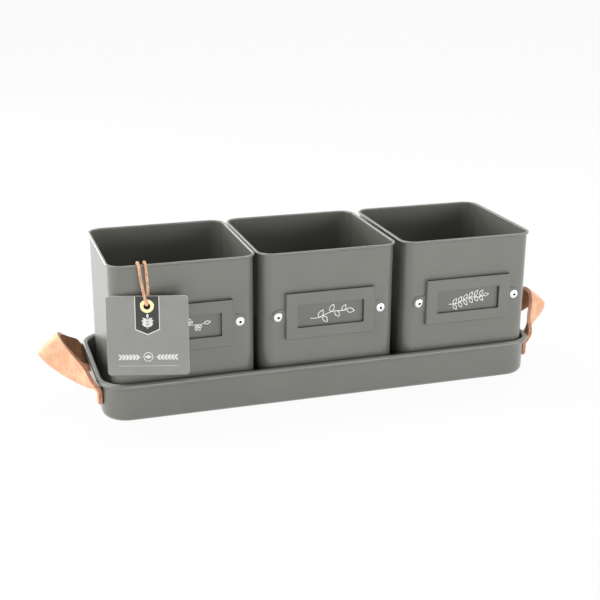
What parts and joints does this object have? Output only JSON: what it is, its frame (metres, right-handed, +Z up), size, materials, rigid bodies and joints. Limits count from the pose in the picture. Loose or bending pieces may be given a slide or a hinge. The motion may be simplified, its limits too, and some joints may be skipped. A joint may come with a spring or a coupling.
{
  "type": "indoor herb planter",
  "caption": "Indoor herb planter: square metal pots with riveted label holders standing in a rolled-rim tray with leather strap handles and a corded hang tag.",
  "frame": {"origin": "centre of the tray's footprint on the surface it stands on", "axes": "+X along the tray towards the right-hand strap, +Y from the labelled fronts to the back, +Z up"},
  "size_m": [0.436, 0.1368, 0.1246],
  "materials": {
    "charcoal_paint": "satin powder coat",
    "plate_paint": "satin paint",
    "tan_leather": "smooth natural leather with bare cut edges",
    "rivet_steel": "bright nickel",
    "grey_card": "matte warm grey card",
    "eyelet_metal": "bright brass",
    "cord": "twisted tan cord"
  },
  "bodies": {
    "tray": {"tray": "charcoal_paint", "strap_left": "tan_leather", "strap_right": "tan_leather", "strap_rivets_left": "rivet_steel", "strap_rivets_right": "rivet_steel", "rivet_washers_left": "rivet_steel", "rivet_washers_right": "rivet_steel"},
    "pot_left": {"pot_left": "charcoal_paint", "label_holder_left": "charcoal_paint", "holder_rivets_left": "rivet_steel"},
    "label_plate_left": {"label_plate_left": "plate_paint"},
    "pot_middle": {"pot_middle": "charcoal_paint", "label_holder_middle": "charcoal_paint", "holder_rivets_middle": "rivet_steel"},
    "label_plate_middle": {"label_plate_middle": "plate_paint"},
    "pot_right": {"pot_right": "charcoal_paint", "label_holder_right": "charcoal_paint", "holder_rivets_right": "rivet_steel"},
    "label_plate_right": {"label_plate_right": "plate_paint"},
    "hang_tag": {"hang_tag": "grey_card", "tag_eyelet": "eyelet_metal", "tag_cord": "cord", "cord_knot": "cord"}
  },
  "joints": [
    {"name": "pot_left_lift", "type": "slide", "parent": "tray", "child": "pot_left", "axis": [0, 0, 1], "range_m": [0, 0.13]},
    {"name": "label_plate_left_slide", "type": "slide", "parent": "pot_left", "child": "label_plate_left", "axis": [0, 0, 1], "range_m": [0, 0.03]},
    {"name": "pot_middle_lift", "type": "slide", "parent": "tray", "child": "pot_middle", "axis": [0, 0, 1], "range_m": [0, 0.13]},
    {"name": "label_plate_middle_slide", "type": "slide", "parent": "pot_middle", "child": "label_plate_middle", "axis": [0, 0, 1], "range_m": [0, 0.03]},
    {"name": "pot_right_lift", "type": "slide", "parent": "tray", "child": "pot_right", "axis": [0, 0, 1], "range_m": [0, 0.13]},
    {"name": "label_plate_right_slide", "type": "slide", "parent": "pot_right", "child": "label_plate_right", "axis": [0, 0, 1], "range_m": [0, 0.03]},
    {"name": "tag_lift", "type": "slide", "parent": "pot_left", "child": "hang_tag", "axis": [0, 0, 1], "range_m": [0, 0.1]}
  ]
}
